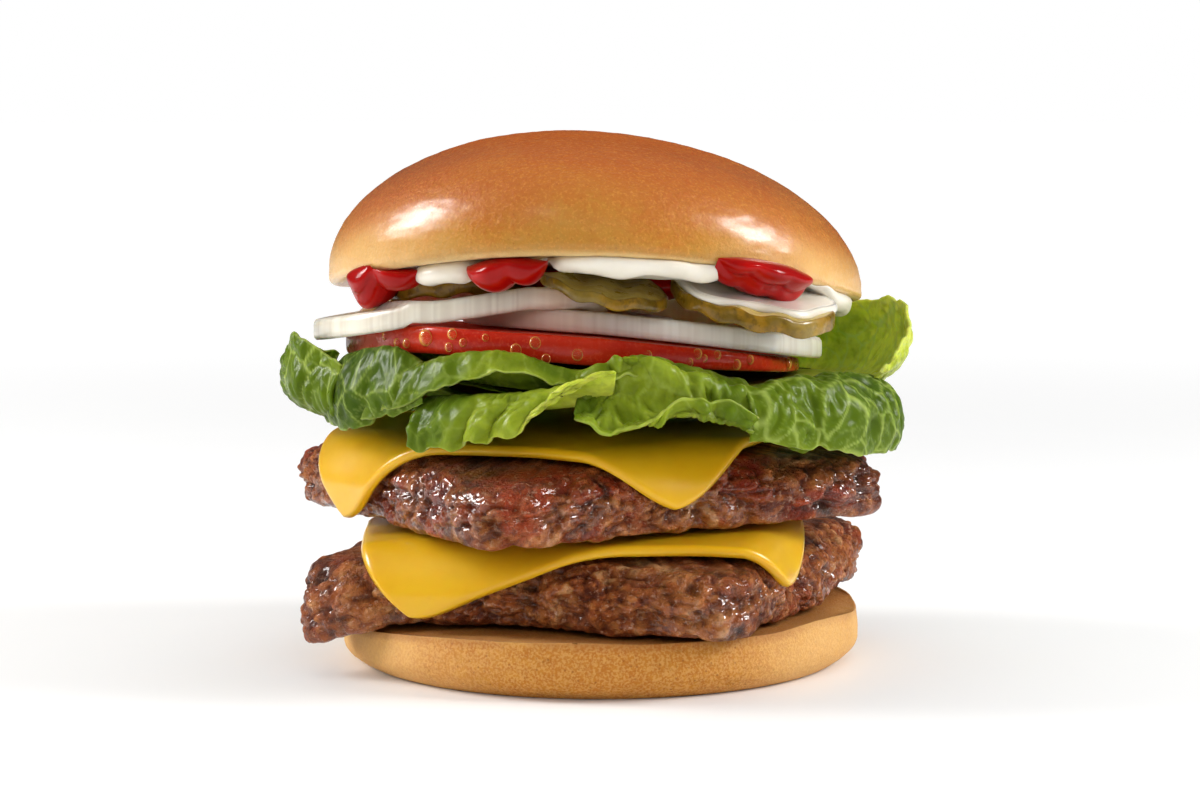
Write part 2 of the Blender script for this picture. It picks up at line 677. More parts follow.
def buildTomato(material):
    # a slice with a skin side fuller than a half circle and nearly flat cut faces
    turn = fullTurn(260)
    share, level, drawnIn = slabRows(22, 10, 0.05, 0.985, 0.75, 0.8)
    outline = tomato["radius"] - 0.25 + 0.25 * np.sin(4 * turn + 0.6)
    x, y = polar(tomato["centre"], (outline - tomato["rounding"] * drawnIn) * share, turn)
    z = tomatoMiddle(x, y) + tomatoHalf(x) * level + 0.12 * hills(x, y, 8, 41) * np.abs(level)
    paint = {"flesh": ease(0.985, 0.95, share) * np.ones_like(x), "pink": ease(-36, -50, x) * 0.75}
    makePiece("tomatoSlice", roundShell(x, y, z, paint), ["tomato_slice"], material)


buildTomato(tomatoMaterial())
print("tomato made")

# Water droplets on the tomato: turn round the slice, height on its side from -1 to 1, radius

dropletScale = 1.15
droplets = [
    (-143, 0.35, 0.7), (-138, -0.3, 0.75), (-134.5, -0.35, 0.8), (-128, 0.2, 1.35), (-121, -0.5, 0.75),
    (-120, 0.7, 0.9), (-117, 0, 0.7), (-111, 0.6, 0.6), (-103.3, -0.3, 1), (-98.6, 0.45, 1),
    (-96, -0.9, 0.8), (-88.5, -0.35, 1), (-71.5, 0, 0.9), (-60.4, -0.5, 0.8), (-58, 0.55, 0.9),
    (-56, 0.1, 0.65), (-52, 0.65, 0.75), (-45.5, -0.4, 0.9), (-40.5, 0.4, 0.8),
    (-20, 0.2, 0.9), (5, -0.3, 0.8), (38, 0.4, 0.9), (77, 0, 0.8), (103, -0.4, 1), (131, 0.3, 0.8), (160, 0.1, 0.9),
]


def waterMaterial():
    # clear in the middle with a warm bright rim
    material, tree = newMaterial("water", body="E8A04C", rough=0.03, ior=1.33, coat=1, coatRough=0.02)
    facing = node(tree, "LayerWeight", {"Blend": 0.5}).outputs["Facing"]
    return setLook(material, alpha=between(tree, facing, 0.05, 0.8, 0.12, 0.45))


def buildDroplets(material):
    # each droplet is a low dome that sits in the tomato's side, a little longer downwards
    around = np.linspace(0, 2 * pi, 18, endpoint=False)[None, :]
    rise = np.linspace(-1.45, 1.45, 10)[:, None]
    parts, offset = [], 0
    for degrees, height, size in droplets:
        size, turn = dropletScale * size, math.radians(degrees)
        x, y = polar(tomato["centre"], tomato["radius"] - 0.35, turn)
        z = tomatoMiddle(x, y) + height * tomatoHalf(x) * 0.8
        flat = 0.6 * size * np.sin(rise) * np.ones_like(around)
        wide = size * np.cos(rise) * np.cos(around)
        x, y = turned((x, y), flat, wide, turn)
        points, quads, fans, _ = roundShell(x, y, z + size * 1.1 * np.cos(rise) * np.sin(around), {})
        parts.append((points, quads + offset, fans + offset))
        offset += len(points)
    makePiece("tomatoDroplets", (*map(np.concatenate, zip(*parts)), {}), [], material)


buildDroplets(waterMaterial())
print("droplets made")

# Crown bun

crown = {
    "centreX": -1.1, "radius": 54.7, "height": 27.8, "fullness": 2.15, "lean": 0.001, "lip": 3,
    "base": 79.4, "slopeX": -0.033, "slopeY": -0.112, "bow": 0.0019,
}


def crownBottom(x, y):
    return crown["base"] + crown["slopeX"] * x + crown["slopeY"] * y - crown["bow"] * x * x


def crownUnder(x, y):
    # the cut face and the rounded lip round it, for sauces that cling to it
    out = np.clip((np.hypot(x - crown["centreX"], y) - crown["radius"] + crown["lip"]) / crown["lip"], 0, 0.98)
    return crownBottom(x, y) + 0.25 + crown["lip"] * (1 - np.sqrt(1 - out * out))


def crustMaterial():
    material, tree = newMaterial("glazed crust", sunk=0.1, reach=2.5 * mm, spread=(1, 0.45, 0.2), specular=0.1,
                                 coatRough=0.27, coatIor=1.45)
    fine = mottle(tree, 900, 0.35, 0.65)
    shade = maths(tree, "ADD", attribute(tree, "bake"), -0.07)
    shade = maths(tree, "ADD", times(tree, mottle(tree, 55, 0.3, 0.7), 0.14, shade), -0.05)
    baked = ramp(tree, times(tree, fine, 0.1, shade), [
        (0, "AE8036"), (0.08, "AC7A2A"), (0.18, "B47C28"), (0.4, "B26A20"), (0.7, "AC5819"), (1, "A24C12")])
    body = paintOver(tree, baked, [
        (pitting(tree, 1100, 0.4, 0.3), 0.35, "8A4516"), (mottle(tree, 1700, 0.5, 0.66), 0.35, "D8943E"),
        ("pale", 1, "E6B874"), ("cut", 1, "E9C98E")])
    lift = times(tree, mottle(tree, 420, 0.2, 0.8), 1.6, fine)
    return dress(material, lift, 0.7, 0.14, body=body, rough=between(tree, fine, 0.42, 0.52),
                 coat=attribute(tree, "glaze"))


def buildCrown(material):
    # rings run over the cut face, round the lip and up over the dome
    turn = fullTurn(290)
    wobble = 1 + 0.004 * np.sin(3 * turn + 1.1) + 0.003 * np.sin(5 * turn)
    radius = crown["radius"] * wobble
    inward = np.linspace(0.05, 0.98, 22)[:, None]
    lip = np.linspace(-pi / 2, 0, 14)[:, None]
    dome = np.linspace(0, 1, 112)[1:-1, None] * pi / 2
    power = 2 / crown["fullness"]
    radii = np.concatenate([(radius - crown["lip"]) * inward, radius - crown["lip"] * (1 - np.cos(lip)),
                            radius * np.cos(dome) ** power])
    rise = (crown["height"] - crown["lip"]) * np.sin(dome) ** power
    lift = np.concatenate([0 * inward, crown["lip"] * (1 + np.sin(lip)), crown["lip"] + rise])
    x, y = polar((crown["centreX"], 0), radii, turn)
    z = crownBottom(x, y) + lift * (1 - crown["lean"] * x)
    share = lift / crown["height"] * np.ones_like(x)
    # slow dents and fine wrinkles that sink into the smooth dome
    normal = np.stack([np.cos(turn) * (1 - share ** 2), np.sin(turn) * (1 - share ** 2), 0.25 + share], -1)
    normal = normal / np.linalg.norm(normal, axis=-1, keepdims=True)
    dents = 0.45 * clouds(x, y, z, 22, 61, 2) - 0.45
    wrinkles = 0.14 * clouds(x, y, z * 1.6, 2.6, 63, 3) - 0.12
    push = (dents + wrinkles) * ease(0, 0.12, share)
    x, y, z = [part + push * normal[..., k] for k, part in enumerate((x, y, z))]
    under = np.arange(len(lift))[:, None] < len(inward)
    z = z + under * (0.3 * clouds(x, y, 0 * x, 3, 66, 3) + 0.3) * 0.6
    bake = np.clip(share ** 0.85 + 0.16 * cloud(x, y, z, 18, 64) + 0.05 * cloud(x, y, z, 5, 65), 0, 1)
    cut = ease(0.05, 0, share) * (0.8 + 0.2 * cloud(x, y, z, 2, 67))
    pale = 0.8 * ease(0.45, 0.05, share) * ease(0.35, 0.95, np.abs(np.cos(turn)) + 0.2 * clouds(x, y, z, 9, 68, 3))
    glaze = 0.85 - 0.75 * ease(0.72, 0.92, share)
    paint = {"glaze": glaze, "bake": bake, "cut": np.clip(cut, 0, 1), "pale": pale}
    makePiece("crownBun", roundShell(x, y, z, paint), ["crown_bun"], material)


buildCrown(crustMaterial())
print("crown bun made")

# Onion rings

onion = {"radius": 36.5, "wall": 3.6, "height": 4.4, "boxiness": 0.75}
leftOnion = {"centre": (-21.5, -1), "bridge": 73.7, "crest": -14, "climb": 0.157, "descent": 0.16, "settle": -4}
rightOnion = {"centre": (8.5, -0.5), "tallerBehind": 4.6}
restGap = 0.45


def rightOnionBottom(x, y):
    return tomatoTop(x, y) + restGap


def leftOnionBottom(x, y):
    # low outside the tomato, rising on to the right ring, then settling again
    climb = leftOnion["climb"] * np.maximum(0, leftOnion["crest"] - x)
    descent = leftOnion["descent"] * np.maximum(0, x - leftOnion["settle"]) ** 2
    bridge = leftOnion["bridge"] - climb - descent - 0.062 * (y + 33)
    outside = np.hypot(x - tomato["centre"][0], y - tomato["centre"][1]) - tomato["radius"]
    onTomato = tomatoTop(x, y) + restGap - 8 * ease(0, 3, outside)
    return softMax(bridge, onTomato, 0.3)


def onionMaterial(name, flesh, streak):
    material, tree = newMaterial(name, sunk=0.6, reach=5 * mm, spread=(1, 0.8, 0.6), rough=0.28, specular=0.5,
                                 coat=0.2, coatRough=0.2)
    fibre = attribute(tree, "fibre")
    body = paintOver(tree, mix(tree, fibre, flesh, streak), [("warm", 1, "E9BFA6")])
    return dress(material, fibre, 0.4, 0.12, body=body)


def buildOnion(nodeName, centre, bottom, material, seed, warmFrom, tallerBehind=0):
    # an upright wall with a rounded rectangular section, scored by fine upright fibres
    turn, side = fullTurn(520), fullTurn(20).T
    box = np.maximum(np.abs(np.cos(side)), np.abs(np.sin(side))) ** onion["boxiness"]
    outward, up = np.cos(side) / box, np.sin(side) / box
    wobble = 0.5 * np.sin(2 * turn + 0.4) + 0.3 * np.sin(5 * turn)
    fibre = 0.5 + 0.5 * hills(turn * 90, 0 * turn, 1, seed)
    fibre = fibre * (0.5 + 0.5 * hills(turn * 23, 0 * turn, 1, seed + 1))
    radius = onion["radius"] + onion["wall"] / 2 * (outward - 1) + wobble - 0.12 * fibre * np.abs(outward)
    x, y = polar(centre, radius, turn)
    z = bottom(x, y) + (onion["height"] + tallerBehind * ease(4, 32, y)) * (up + 1) / 2
    warm = ease(0, 1, warmFrom(x)) * (0.8 + 0.2 * cloud(x, y, z, 6, seed + 2))
    paint = {"fibre": fibre * np.ones_like(x), "warm": warm}
    makePiece(camel(nodeName), ringShell(x, y, z, paint), [nodeName], material)


buildOnion("onion_ring_right", rightOnion["centre"], rightOnionBottom,
           onionMaterial("shaded onion", "F4ECE0", "D2C4B2"), 71, lambda x: 0.75 * ease(8, -14, x),
           rightOnion["tallerBehind"])
buildOnion("onion_ring_left", leftOnion["centre"], leftOnionBottom,
           onionMaterial("raw onion", "E0DACA", "BEB2A0"), 75, lambda x: 0.5 * ease(-22, -8, x))
print("onion rings made")

# Pickle chips

pickles = {
    "pickle_right": {
        "middle": (29.7, -34), "radius": 16, "thickness": 3.2,
        "height": 76.4, "slopes": (-0.2, 0.14), "turn": -15},
    "pickle_middle": {
        "middle": (0.8, -35.8), "radius": 12.4, "thickness": 2.2,
        "height": 79.4, "slopes": (-0.2, 0.15), "turn": -8},
    "pickle_left": {
        "middle": (-29, -19), "radius": 13.2, "thickness": 3,
        "height": 78.2, "slopes": (0.08, -0.09), "turn": 12},
    "pickle_rear_right": {
        "middle": (34, 4), "radius": 13.5, "thickness": 3.4,
        "height": 73.2, "slopes": (-0.12, -0.06), "turn": 70},
}
pickleCut = {"waveLength": 7.6, "waveHeight": 0.4, "sauceRoom": 2.2}


def pickleMaterial():
    material, tree = newMaterial("pickled cucumber", sunk=0.3, reach=2.5 * mm, spread=(0.8, 0.9, 0.25),
                                 specular=0.12, coat=0.4, coatRough=0.1)
    skin = paintOver(tree, mix(tree, mottle(tree, 160, 0.38, 0.62), "6A520E", "926C18"), [
        (mottle(tree, 700, 0.5, 0.64), 0.5, "483412"), (mottle(tree, 60, 0.5, 0.7), 0.4, "A08C46")])
    flesh = mix(tree, mottle(tree, 220, 0.4, 0.6), "C4AC50", "A88E34")
    body = paintOver(tree, flesh, [("seeds", 1, "84702E"), ("skin", 1, skin)])
    return dress(material, mottle(tree, 650, 0.25, 0.75), 0.4, 0.14, body=body,
                 rough=between(tree, mottle(tree, 300, 0.3, 0.7), 0.25, 0.42))


def chipTop(chip, dx, dy, wave):
    # the upper face: a tilted plane with its waves, kept clear of the crown
    x, y = chip["middle"][0] + dx, chip["middle"][1] + dy
    top = chip["height"] + chip["slopes"][0] * dx + chip["slopes"][1] * dy + wave
    return x, y, -softMax(-top, pickleCut["sauceRoom"] - crownBottom(x, y), 0.4)


def buildPickle(nodeName, chip, material, seed):
    # a round slice: both faces carry the same straight waves, and the side is warty skin
    turn = fullTurn(140)
    share, level, drawnIn = slabRows(14, 20, 0.04, 0.985, 1, 0.7)
    radius = (chip["radius"] - 0.1 + 0.2 * np.sin(3 * turn + seed) - 0.5 * drawnIn) * share
    dx, dy = polar((0, 0), radius, turn)
    waveTurn = math.radians(chip["turn"])
    across = dx * math.cos(waveTurn) + dy * math.sin(waveTurn)
    wave = pickleCut["waveHeight"] * np.cos(2 * pi * across / pickleCut["waveLength"])
    x, y, top = chipTop(chip, dx, dy, wave)
    z = top - chip["thickness"] * (1 - level) / 2
    wart = 0.18 * cloud(x, y, z, 1.6, seed) * (share > 0.99)
    x, y = polar((x, y), wart, turn)
    z = z + 0.08 * cloud(x, y, z, 1.5, seed + 1)
    skin = ease(0.975, 1, share) * np.ones_like(x)
    near = grains(dx, dy * 1.6, 0 * dx, 2.4, seed)[0]
    seeds = ease(0.35, 0.15, near) * ease(0.65, 0.5, share) * 0.7
    shell = roundShell(x, y, z, {"skin": skin, "seeds": seeds})
    makePiece(camel(nodeName), shell, [nodeName], material)


pickleLook = pickleMaterial()
for seed, (nodeName, chip) in enumerate(pickles.items()):
    buildPickle(nodeName, chip, pickleLook, 81 + 7 * seed)
print("pickles made")

# Ketchup: middle, half length and width, turn, depth below the crown, then the hanging lobes as
# (place along the length from -1 to 1, width, share of the depth)

ketchups = {
    "ketchup_left": {
        "middle": (-41.4, -30.6), "half": (10.2, 5), "turn": -42, "depth": 7.2,
        "lobes": [(-0.5, 0.52, 1), (0.48, 0.5, 0.5)]},
    "ketchup_middle": {
        "middle": (-17.5, -45.6), "half": (8.4, 4.9), "turn": -18, "depth": 6.8,
        "lobes": [(-0.35, 0.65, 1), (0.5, 0.5, 0.8)]},
    "ketchup_right": {
        "middle": (31.2, -42.4), "half": (11.8, 5.8), "turn": 38, "depth": 5.4,
        "lobes": [(-0.65, 0.4, 0.6), (-0.05, 0.5, 0.8), (0.55, 0.5, 1)]},
    "ketchup_back": {
        "middle": (12, 42), "half": (8.5, 5), "turn": -15, "depth": 3.4,
        "lobes": [(-0.2, 0.6, 1), (0.6, 0.4, 0.7)]},
    "inside": {
        "middle": (0, -6), "half": (20, 11), "turn": 0, "depth": 7.2,
        "lobes": [(-0.5, 0.6, 1), (0.5, 0.6, 1)]},
}


def buildKetchup(nodeName, spoonful, material, seed):
    # a lump with lobes that hangs from the crown and is fuller below than an egg
    around, angle = fullTurn(80), upAndOver(38)[1:-1]
    halfLength, halfWidth = spoonful["half"]
    turn = math.radians(spoonful["turn"])
    full = np.cos(angle) ** 0.8
    share = np.cos(around) * full
    hanging = np.max([deep * np.maximum(0, 1 - ((share - place) / width) ** 2) ** 0.6
                      for place, width, deep in spoonful["lobes"]], axis=0)
    swell = 0.55 + 0.5 * np.sqrt(hanging)
    ahead = halfLength * share * (0.85 + 0.15 * swell)
    x, y = turned(spoonful["middle"], ahead, halfWidth * full * np.sin(around) * swell, turn)
    z = crownUnder(x, y) - spoonful["depth"] * (0.3 + 0.7 * hanging) * (1 - np.sin(angle)) / 2
    x, y = polar((x, y), 0.6 * cloud(x, y, z, 5, seed) * np.cos(angle), around + turn)
    z = z - 0.5 * cloud(x, y, z, 4.5, seed + 9) * np.cos(angle) ** 2 * (1 - np.sin(angle))
    name = "ketchup" + nodeName.split("_")[-1].title()
    makePiece(name, roundShell(x, y, z, {}), [nodeName] if "_" in nodeName else [], material)


ketchupLook = evenFood("ketchup", (90, 0.35, 0.7), ("8E0604", "A80A05"), (160, 0.3, 0.25), sunk=0.1,
                       reach=1.5 * mm, spread=(1, 0.12, 0.06), rough=0.28, specular=0.04, coat=0.3, coatRough=0.03)
for seed, (nodeName, spoonful) in enumerate(ketchups.items()):
    buildKetchup(nodeName, spoonful, ketchupLook, 121 + seed)
print("ketchup made")

# Mayonnaise: a spread under the crown with lobes as (direction, spread, reach, drop)

mayo = {
    "centre": (0, -1), "core": 30, "thickness": 0.7, "rounding": 1,
    "longest": 22.3,
    "lobes": [(-172, 14, 20, 3), (-130, 13, 21, 3.6), (-84, 23, 22, 3.2), (-60, 20, 10, 0), (-33, 12, 20, 0),
              (-19, 11, 22, 3.4), (40, 18, 17, 2.2), (84, 20, 19, 3.4), (128, 20, 18, 2.8)],
}
smear = {"radius": 14.2, "thickness": 0.9}


def buildMayo(material):
    # rings over the hanging underside, round a soft rim and in under the crown
    turn = fullTurn(260)
    lobes = sum(lobe[2] * bell(turn, lobe[0], lobe[1], 4) for lobe in mayo["lobes"])
    ripple = 0.5 * np.sin(23 * turn) * hills(turn * 9, 0 * turn, 1, 133)
    reach = mayo["core"] + np.minimum(lobes, mayo["longest"]) + ripple
    share, level, drawnIn = slabRows(20, 22, 0.04, 0.985)
    rounding = mayo["rounding"] * (1 + 1.2 * ease(41, 49, reach))
    x, y = polar(mayo["centre"], (reach - rounding * drawnIn) * share, turn)
    hanging = np.max([lobe[3] * bell(np.arctan2(y, x), lobe[0], lobe[1], 4) for lobe in mayo["lobes"]], axis=0)
    drop = hanging * ease(43, 48.5, np.hypot(x, y)) * (1 + 0.55 * hills(x, y, 5.5, 131))
    z = crownUnder(x, y) - (mayo["thickness"] + drop) * (1 - level) / 2
    makePiece("mayoSpread", roundShell(x, y, z, {}), ["mayo"], material)


def buildSmear(chip, material):
    # a thin pool of mayonnaise on top of a pickle chip, higher in the middle
    around, angle, inward = fullTurn(120), upAndOver(16)[1:-1], np.linspace(0.06, 0.98, 14)[:, None]
    share = np.concatenate([inward, 1 - 0.06 * (1 - np.cos(angle)), inward[::-1]])
    level = np.concatenate([-np.ones_like(inward), np.sin(angle), np.ones_like(inward)])
    reach = smear["radius"] * (1 + 0.12 * np.sin(2 * around + 1) + 0.08 * np.sin(5 * around))
    x, y, top = chipTop(chip, *polar((0, 0), reach * share, around), 0)
    z = top + 0.3 + smear["thickness"] * (1 + 0.3 * hills(x, y, 5, 141)) * level
    makePiece("mayoOnPickle", roundShell(x, y, z, {}), [], material)


mayoLook = evenFood("mayonnaise", (80, 0.3, 0.7), ("DED6C6", "E8E1D4"), (110, 0.25, 0.25), sunk=0.4,
                    reach=3 * mm, spread=(1, 0.85, 0.6), rough=0.24, specular=0.5, coat=0.3, coatRough=0.12)
buildMayo(mayoLook)
buildSmear(pickles["pickle_right"], mayoLook)
print("mayonnaise made")

# Lettuce: each leaf spans some turns, and its rows run from the root to the rim. A row is its
# distances from the middle and its heights, spread along the span.

lettuce = {
    "lettuce_far_left": {
        "span": (158, 207), "light": (0.42, 0.36, 0.45), "blister": 1, "vein": 0.9, "folds": (3, 0.5),
        "rows": [((12,), (51.5,)), ((45,), (54,)), ((57, 59, 58, 57, 56), (52, 51.5, 51, 51, 51.5)),
            ((62, 64.5, 65, 63.5, 59), (56, 55.5, 56, 56.5, 56)),
            ((60, 62.5, 63.5, 62, 57), (60, 63, 64, 67.5, 62))]},
    "lettuce_left": {
        "span": (-171, -128), "light": (0.2, 0.18, 0.28), "blister": 0.35, "vein": 0.6, "folds": (3, 0.5),
        "rows": [((12,), (52.9,)), ((46,), (58,)), ((53, 54, 53.5, 52, 51), (56, 62, 65, 66, 62)),
            ((58, 58.5, 58, 56, 55), (54, 56, 56.5, 58, 59)), ((56, 57, 57, 56, 55), (51.5, 50.2, 50, 53, 56))]},
    "lettuce_front": {
        "span": (-131, -87), "sweep": -10, "light": (0.4, 0.5, 0.65, 0.95), "blister": 0.6, "vein": 0.2,
        "folds": (5, 0.85),
        "rows": [((12,), (54.3,)), ((45,), (56.5,)), ((52.5, 53, 53, 53.5, 58), (55.5, 57.6, 58.8, 60.5, 64)),
            ((56, 56.8, 57, 57, 58.8), (52, 54, 55, 57, 62.4)),
            ((56.6, 57, 57.2, 57.5, 59.2), (47.6, 48, 50, 52.4, 60.5))]},
    "lettuce_middle": {
        "span": (-95, -45), "light": (0.5, 0.6, 0.5, 0.55, 0.6), "blister": 2.2, "vein": 0.3, "folds": (5, 0.5),
        "rows": [((12,), (52.9,)), ((44,), (57,)), ((52, 53.5, 53.5, 53.5, 54, 54), (62, 66, 63.6, 61.5, 58, 55)),
            ((50, 50, 54, 55, 55.5, 56), (58, 59, 58.5, 56.5, 52.5, 51)),
            ((54, 55.5, 57, 57.5, 57.5, 57.5), (54.5, 52.6, 54.6, 53, 49.4, 48)),
            ((57, 57.5, 58, 58.5, 58.8, 58), (55, 52.4, 58.4, 57.8, 53.5, 53))]},
    "lettuce_right": {
        "span": (-60, -6), "light": (0.38, 0.32, 0.28, 0.35), "blister": 1.2, "vein": 0.7, "folds": (3, 0.6),
        "rows": [((12,), (51.5,)), ((45,), (55,)), ((53, 54.5, 56, 57, 55), (59.5, 60.5, 60.5, 58.5, 55)),
            ((57.5, 60, 62.5, 63, 60), (55, 55, 54.5, 53, 51)),
            ((57.5, 60.5, 62, 62, 60), (49.5, 47.8, 45.4, 45, 46.5))]},
    "lettuce_rear_right": {
        "span": (-24, 42), "light": (0.95, 0.9, 0.95, 0.95), "blister": 0.5, "vein": 1, "folds": (2, 0.4),
        "rows": [((12,), (55.4,)), ((44,), (57,)), ((54, 56, 57, 53), (57.5, 56.5, 56, 55)),
            ((60, 62.5, 62, 55), (60, 63, 64, 59)), ((60, 63.2, 61.5, 54), (60.5, 70, 72, 64))]},
    "lettuce_upper_front": {
        "span": (-160, -56), "light": (0.4, 0.42, 0.5, 0.45, 0.5), "blister": 0.3, "vein": 0.3, "folds": (9, 0.3),
        "rows": [((12,), (57.5,)), ((42,), (60,)), ((46.5,), (61.2, 61.2, 60.8, 60.2, 59.6)),
            ((54, 53.5, 52, 50.6, 49.8, 49.6), (61, 60.3, 62.5, 66, 66.4, 63.2, 66, 63.4, 60.5)),
            ((57, 56.5, 55, 54, 53.5, 53), (50, 51.5, 55.5, 60.5, 63.2, 60.8, 63, 60.8, 58.5))]},
    "lettuce_back_right": {
        "span": (-14, 46), "light": (0.4, 0.3, 0.4), "blister": 0.9, "vein": 0.5, "folds": (4, 0.9),
        "rows": [((12,), (52.9,)), ((45,), (55,)), ((55, 57, 56, 54), (54, 54.5, 54.5, 55)),
            ((56, 59, 58, 55), (51, 49.5, 49, 51))]},
    "lettuce_back": {
        "span": (39, 100), "light": (0.35, 0.5, 0.35), "blister": 0.8, "vein": 0.5, "folds": (5, 1),
        "rows": [((12,), (51.5,)), ((45,), (52.5,)), ((54, 56, 57, 55), (52, 53, 52.5, 52)),
            ((54.5, 58, 59, 56), (46.5, 46, 45.5, 46))]},
    "lettuce_back_left": {
        "span": (92, 156), "light": (0.5, 0.35, 0.45), "blister": 0.7, "vein": 0.5, "folds": (5, 0.9),
        "rows": [((12,), (52.9,)), ((45,), (55.5,)), ((54, 57, 56, 55), (55, 56, 55, 55)),
            ((55, 59, 58, 56), (46, 45, 45.5, 46))]},
    "lettuce_upper_back": {
        "span": (56, 150), "light": (0.75, 0.7, 0.8), "blister": 0.4, "vein": 0.35, "folds": (8, 0.7),
        "rows": [((12,), (55.5,)), ((42,), (57,)), ((49, 50.5, 51, 51, 49), (58, 59.5, 58.5, 60, 60)),
            ((50, 54, 55, 54, 51), (56, 57, 55, 57, 58))]},
}
leafForm = {"thickness": 0.7, "fold": 0.8, "tooth": 0.6, "arc": 54, "wander": 2.2,
            "blisterSize": 6, "smallBlister": 0.28, "smallBlisterSize": 2.4}


def lettuceMaterial():
    material, tree = newMaterial("lettuce leaf", sunk=0.4, reach=2.5 * mm, spread=(0.7, 1, 0.1), specular=0.05,
                                 coat=0.05, coatRough=0.1)
    green = ramp(tree, attribute(tree, "light"), [
        (0, "1C2A06"), (0.25, "384E0C"), (0.5, "586C14"), (0.75, "8C9A26"), (1, "C2CA4A")])
    body = paintOver(tree, green, [
        (mottle(tree, 420, 0.4, 0.65), 0.3, "485A12"), ("vein", 1, "A3B45A"), ("rib", 1, "CAD47C")])
    return dress(material, mottle(tree, 700, 0.2, 0.8), 0.35, 0.1, body=body,
                 rough=between(tree, mottle(tree, 250, 0.3, 0.7), 0.26, 0.42))


def buildLeaf(nodeName, leaf, material, seed, columns, rows):
    # a smooth sheet through the leaf's rows, folded and toothed towards the rim, with blisters between veins
    across = np.linspace(0, 1, columns)
    out = np.linspace(0, 1, rows) ** 0.65
    start, end = leaf["span"]
    radius, z = [along([along(row[part] * (2 if len(row[part]) == 1 else 1), across) for row in leaf["rows"]], out)
                 for part in (0, 1)]
    out = out[:, None] * np.ones_like(radius)
    across = across[None, :] * np.ones_like(radius)
    turn = np.radians(start + (end - start) * across + leaf.get("sweep", 0) * across * ease(0.5, 1, out))
    count, depth = leaf["folds"]
    arc = across * (end - start)
    wander = 0.75 * hills(arc / 9, 0 * arc, 1, seed + 7)
    fold = np.sin(2 * pi * count * across + 3 * wander) + 0.4 * np.sin(4.3 * pi * count * across + 5 * wander)
    fold = fold * (0.75 + 0.6 * hills(arc / 13, 0 * arc, 1, seed + 8))
    outer = ease(0.45, 0.85, out)
    radius = radius + depth * (fold - 0.6) * outer
    z = z + 0.5 * depth * np.cos(2 * pi * count * across + 3 * wander) * ease(0.6, 1, out)
    tooth = hills(arc / 1.9, 0 * arc, 1, seed) * leafForm["tooth"] * ease(0.9, 1, out)
    x, y = radius * np.cos(turn), radius * np.sin(turn)
    z = z + tooth + leafForm["fold"] * np.sin(x / 6 + 0.6) * np.sin(y / 7.5 + 1.2) * ease(0.6, 0.3, out)
    points = np.stack([x, y, z], -1)
    normal = -sheetNormals(points)
    # blisters in the leaf's own flat measure: length along the rim by length from the root
    steps = np.linalg.norm(np.diff(points, axis=0), axis=-1)
    d = np.concatenate([np.zeros((1, columns)), np.cumsum(steps, 0)])
    s = (turn - turn.mean()) * leafForm["arc"]
    sw = s + leafForm["wander"] * hills(s, d, 7, seed + 1)
    dw = 0.8 * d + leafForm["wander"] * hills(s, d, 7, seed + 2)
    _, gap, tone = grains(sw, dw, 0 * s, leafForm["blisterSize"], seed + 3)
    gapSmall = grains(sw, dw, 0 * s, leafForm["smallBlisterSize"], seed + 4)[1]
    pillow = ease(0, 0.65, gap) * (0.5 + 0.5 * tone)
    fade = ease(0.2, 0.5, out) * ease(1.03, 0.88, out)
    small = leafForm["smallBlister"] * (0.6 + leaf["blister"]) * (ease(0, 0.6, gapSmall) - 0.5)
    points = points + normal * ((leaf["blister"] * (pillow - 0.4) + small) * fade)[..., None]
    vein = leaf["vein"] * np.clip(ease(0.07, 0, gap) * 0.8 + ease(0.06, 0, gapSmall) * 0.3, 0, 1)
    rib = 0.5 * ease(0.975, 1, out) * (0.6 + 0.4 * hills(arc, 0 * arc, 4, seed + 6))
    light = along(leaf["light"], across) + 0.16 * hills(s, d, 10, seed + 5) + 0.12 * (0.5 - pillow)
    light = light + 0.1 * ease(0.85, 1, out)
    thickness = rimThickness(rows, columns, leafForm["thickness"], 0.02, 0.015)
    paint = {"vein": vein, "rib": np.clip(rib, 0, 1), "light": np.clip(light, 0, 1)}
    makePiece(camel(nodeName, "leaf"), sheetShell(points, thickness, paint), [nodeName], material)


lettuceLook = lettuceMaterial()
for seed, (nodeName, leaf) in enumerate(lettuce.items()):
    # the seven leaves of the front half have the finer mesh: columns for each degree, and rows
    density, rows = (2.7, 60) if seed < 7 else (1.6, 38)
    buildLeaf(nodeName, leaf, lettuceLook, 151 + 11 * seed, int((leaf["span"][1] - leaf["span"][0]) * density), rows)
print("lettuce made")

# Floor, light and camera

studio = {"floorRadius": 4, "floorColour": "F2F2F2", "fadeFrom": 0.16, "fadeTo": 0.75, "skyLow": 0.12, "skyHigh": 0.62,
          "skyInGloss": 0.3, "aim": (0, 0, 0.06), "lens": 102.94, "sensor": 36}
white = (1, 1, 1, 1)


def floorMaterial():
    # pale near the food and as bright as the backdrop farther out, so that no horizon shows
    material, tree = newMaterial("pale floor", rough=0.55, glow=white)
    place = node(tree, "TexCoord").outputs["Object"]
    away = node(tree, "VectorMath", {0: place}, operation="LENGTH").outputs["Value"]
    far = between(tree, away, 0, 1, studio["fadeFrom"], studio["fadeTo"], "SMOOTHSTEP")
    share = times(tree, far, node(tree, "LightPath").outputs["Is Camera Ray"])
    return setLook(material, body=mix(tree, share, studio["floorColour"], "000000"), glowPower=share)


